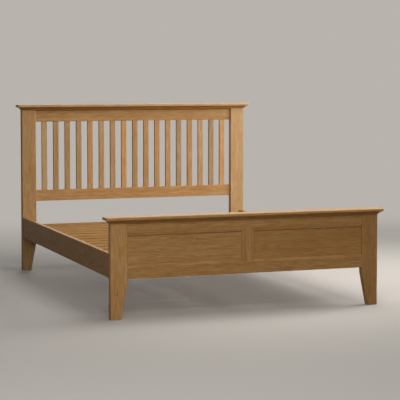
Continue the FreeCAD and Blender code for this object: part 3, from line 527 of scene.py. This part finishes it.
def make_screw_places():
    """Geometry nodes that drive a screw in at every point, each stopped at its own turn."""
    tree = bpy.data.node_groups.new("screws_at_points", "GeometryNodeTree")
    for name, kind in (
        ("Points", "Geometry"),
        ("Screw", "Object"),
        ("Out of the wood", "Vector"),
        ("Finish", "Material"),
        ("Seed", "Int"),
    ):
        tree.interface.new_socket(name, in_out="INPUT", socket_type=f"NodeSocket{kind}")
    tree.interface.new_socket("Screws", in_out="OUTPUT", socket_type="NodeSocketGeometry")
    entry = tree.nodes.new("NodeGroupInput").outputs
    screw = add_node(tree, "GeometryNodeObjectInfo", {"Object": entry["Screw"]})
    turn = add_node(tree, "FunctionNodeRandomValue", {2: 0.0, 3: math.pi / 2, "Seed": entry["Seed"]})
    spin = add_node(tree, "ShaderNodeCombineXYZ", {"Z": turn.outputs[1]})
    spin = add_node(tree, "FunctionNodeEulerToRotation", {"Euler": spin.outputs["Vector"]})
    aim = add_node(
        tree,
        "FunctionNodeAlignRotationToVector",
        {"Rotation": spin.outputs["Rotation"], "Vector": entry["Out of the wood"]},
        axis="Z",
    )
    placed = add_node(
        tree,
        "GeometryNodeInstanceOnPoints",
        {
            "Points": entry["Points"],
            "Instance": screw.outputs["Geometry"],
            "Rotation": aim.outputs["Rotation"],
        },
    )
    real = add_node(tree, "GeometryNodeRealizeInstances", {"Geometry": placed.outputs["Instances"]})
    plated = add_node(
        tree,
        "GeometryNodeSetMaterial",
        {"Geometry": real.outputs["Geometry"], "Material": entry["Finish"]},
    )
    leave = tree.nodes.new("NodeGroupOutput")
    tree.links.new(plated.outputs["Geometry"], leave.inputs["Screws"])
    return tree


# the first stands 0.2 mm out of the wood, and the second sits on the hanger's sheet
COUNTERSUNK = make_screw(
    "countersunk_screw",
    [(4 * MM, 0.2 * MM), (4 * MM, 0), (2 * MM, -2.6 * MM)],
)
PAN_HEAD = make_screw(
    "pan_head_screw",
    [(3.2 * MM, 2.4 * MM), (4.1 * MM, 1.6 * MM), (4.4 * MM, 0), (2.2 * MM, 0), (2.2 * MM, -9 * MM)],
)
SCREW_PLACES = make_screw_places()


def drive_screws(name, screw, points, out_of_wood, seed):
    """A group of equal screws as one piece."""
    mesh = bpy.data.meshes.new(f"{name}_points")
    mesh.from_pydata(points, [], [])
    source = bpy.data.objects.new(f"{name}_points", mesh)
    bpy.context.scene.collection.objects.link(source)
    modifier = source.modifiers.new("screws", "NODES")
    modifier.node_group = SCREW_PLACES
    values = {"Screw": screw, "Out of the wood": out_of_wood, "Finish": ZINC, "Seed": seed}
    for item in SCREW_PLACES.interface.items_tree:
        if item.in_out == "INPUT" and item.name in values:
            modifier[item.identifier] = values[item.name]
    bpy.context.view_layer.update()
    evaluated = source.evaluated_get(bpy.context.evaluated_depsgraph_get())
    screws = bpy.data.objects.new(name, bpy.data.meshes.new_from_object(evaluated))
    bpy.data.objects.remove(source)
    bpy.context.scene.collection.objects.link(screws)
    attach(screws, body)


# one screw over the middle of each bearer and one over the centre rail
low, high = piece_box(nodes["slat_bearer_right"])
bearer_middle = (low[0] + high[0]) / 2
slat_points = []
for node in sorted(name for name in nodes if name.startswith("bed_slat_")):
    low, high = piece_box(nodes[node])
    for x in (-bearer_middle, 0, bearer_middle):
        slat_points.append((x, (low[1] + high[1]) / 2, high[2]))
drive_screws("bed_slat_screws", COUNTERSUNK, slat_points, (0, 0, 1), 3)

# seven along each bearer, driven from the inner side of the bed
BEARER_SCREW_SPACING = 300 * MM
for side, inward in (("left", 1), ("right", -1)):
    low, high = piece_box(nodes[f"slat_bearer_{side}"])
    inner = high[0] if side == "left" else low[0]
    height = (low[2] + high[2]) / 2
    points = [(inner, BEARER_SCREW_SPACING * n, height) for n in range(-3, 4)]
    drive_screws(f"slat_bearer_screws_{side}", COUNTERSUNK, points, (inward, 0, 0), 5)

# one in each of the four holes of a hanger's back plate
HANGER_SHEET = 2 * MM
HOLE_FROM_SIDE = 9 * MM
HOLE_FROM_EDGE = 13 * MM
for end, inward in (("foot", 1), ("head", -1)):
    low, high = piece_box(nodes[f"centre_rail_hanger_{end}"])
    plate = low[1] + HANGER_SHEET if end == "foot" else high[1] - HANGER_SHEET
    holes = []
    for x in (low[0] + HOLE_FROM_SIDE, high[0] - HOLE_FROM_SIDE):
        for z in (low[2] + HOLE_FROM_EDGE, high[2] - HOLE_FROM_EDGE):
            holes.append((x, plate, z))
    drive_screws(f"centre_rail_hanger_screws_{end}", PAN_HEAD, holes, (0, inward, 0), 7)


# ---------------------------------------------------------------- locating dowels
# Round beech dowels, each half in a post and half in a side rail. Nothing of them shows, so the
# pattern of the oak stands in for the beech's own.

set_material(
    nodes["locating_dowels"],
    sawn_oak("beech_dowels", nodes["locating_dowels"], "y", tone=1.1, warmth=-0.4, lacquer=0),
)


# ---------------------------------------------------------------- studio
# A pale floor that fades into a pale background, soft lamps, and the photograph's camera. The
# floor's radius and its fade are in metres from the floor's middle.

FLOOR_RADIUS = 60
FADE_FROM = 1.6
FADE_TO = 5.0
FLOOR_COLOUR = "#C6C0B8"
FLOOR_BOUNCE = "#625E58"
BACKGROUND_COLOUR = "#B8B3AD"


def looked_at(tree):
    """1 where the camera sees a point, straight or mirrored, and 0 for light on its way."""
    ray = tree.nodes.new("ShaderNodeLightPath").outputs
    straight_or_mirrored = add_node(
        tree,
        "ShaderNodeMath",
        {0: ray["Is Camera Ray"], 1: ray["Is Glossy Ray"]},
        operation="MAXIMUM",
    ).outputs[0]
    return add_node(
        tree,
        "ShaderNodeMath",
        {0: straight_or_mirrored, 1: ray["Is Transmission Ray"]},
        operation="MAXIMUM",
    ).outputs[0]


def make_floor():
    """A wide round floor that fades into the background far away.

    It looks pale to the camera and in the lacquer, and sends little light back up, as a carpet
    does, so that the mouldings under the caps stay in shade.
    """
    bm = bmesh.new()
    bmesh.ops.create_circle(bm, cap_ends=True, segments=96, radius=FLOOR_RADIUS)
    mesh = bpy.data.meshes.new("studio_floor")
    bm.to_mesh(mesh)
    bm.free()
    floor = bpy.data.objects.new("studio_floor", mesh)
    bpy.context.scene.collection.objects.link(floor)

    material = bpy.data.materials.new("matt_studio_floor")
    material.use_nodes = True
    tree = material.node_tree
    shown = looked_at(tree)
    pile = add_node(
        tree,
        "ShaderNodeMix",
        {"Factor": shown, 6: linear(FLOOR_BOUNCE), 7: linear(FLOOR_COLOUR)},
        data_type="RGBA",
    )
    shader = tree.nodes["Principled BSDF"]
    tree.links.new(pile.outputs[2], shader.inputs["Base Color"])
    shader.inputs["Roughness"].default_value = 0.8
    shader.inputs["Specular IOR Level"].default_value = 0.2
    coordinates = tree.nodes.new("ShaderNodeTexCoord")
    distance = add_node(
        tree,
        "ShaderNodeVectorMath",
        {0: coordinates.outputs["Object"]},
        operation="LENGTH",
    )
    far = add_node(
        tree,
        "ShaderNodeMapRange",
        {"Value": distance.outputs["Value"], "From Min": FADE_FROM, "From Max": FADE_TO},
        interpolation_type="SMOOTHSTEP",
    )
    glow = add_node(tree, "ShaderNodeEmission", {"Color": linear(BACKGROUND_COLOUR)})
    share = add_node(
        tree, "ShaderNodeMath", {0: far.outputs["Result"], 1: shown}, operation="MULTIPLY"
    )
    faded = add_node(
        tree,
        "ShaderNodeMixShader",
        {0: share.outputs[0], 1: shader.outputs["BSDF"], 2: glow.outputs["Emission"]},
    )
    tree.links.new(faded.outputs["Shader"], tree.nodes["Material Output"].inputs["Surface"])
    set_material(floor, material)


def make_background(ambient_colour, ambient_strength):
    """A plain world: one pale colour for the camera, a dimmer ambient light for the bed."""
    world = bpy.data.worlds.new("studio_world")
    world.use_nodes = True
    tree = world.node_tree
    ambient = tree.nodes["Background"]
    ambient.inputs["Color"].default_value = linear(ambient_colour)
    ambient.inputs["Strength"].default_value = ambient_strength
    shown = add_node(tree, "ShaderNodeBackground", {"Color": linear(BACKGROUND_COLOUR)})
    mixed = add_node(
        tree,
        "ShaderNodeMixShader",
        {
            0: looked_at(tree),
            1: ambient.outputs["Background"],
            2: shown.outputs["Background"],
        },
    )
    tree.links.new(mixed.outputs["Shader"], tree.nodes["World Output"].inputs["Surface"])
    bpy.context.scene.world = world


def add_lamp(name, place, target, size, power, spread=180):
    """A square soft box that shines at a target, out of the camera's sight."""
    light = bpy.data.lights.new(name, "AREA")
    light.size = size
    light.energy = power
    light.spread = math.radians(spread)
    lamp = bpy.data.objects.new(name, light)
    lamp.visible_camera = False
    lamp.location = place
    lamp.rotation_euler = (Vector(target) - Vector(place)).to_track_quat("-Z", "Y").to_euler()
    bpy.context.scene.collection.objects.link(lamp)


def make_camera():
    """The camera of the photograph: a long lens, seen from the left of the foot end."""
    camera = bpy.data.cameras.new("camera")
    camera.sensor_width = 36
    camera.lens = 130.59
    camera.shift_y = -0.10
    camera.clip_end = 200
    seen_from = bpy.data.objects.new("camera", camera)
    seen_from.location = (-2.9589, -8.4239, 1.3295)
    turned_right = math.radians(19.949)
    tilted_down = math.radians(3.518)
    seen_from.rotation_euler = (math.pi / 2 - tilted_down, 0, -turned_right)
    bpy.context.scene.collection.objects.link(seen_from)
    bpy.context.scene.camera = seen_from


make_floor()
make_background("#F4F1EC", 0.02)

# the key lights the headboard from the right, one lamp hangs over the foot end, two stand in
# front of the footboard and to its left, and the last lights the back of the bed
add_lamp("key_softbox", (3.0, -0.3, 2.1), (0.2, 1.0, 0.65), 1.8, 55, spread=130)
add_lamp("top_softbox", (0.6, -0.7, 3.0), (0, -0.65, 0), 2.0, 23, spread=120)
add_lamp("high_front_softbox", (-0.9, -4.0, 3.6), (-0.3, -1.0, 0.3), 1.6, 48)
add_lamp("low_left_softbox", (-2.3, -4.8, 1.8), (-0.4, -1.0, 0.5), 1.2, 35)
add_lamp("back_softbox", (1.0, 5.5, 1.6), (0, 1.0, 0.6), 3.0, 75)

make_camera()

bpy.context.scene.view_settings.view_transform = "Standard"
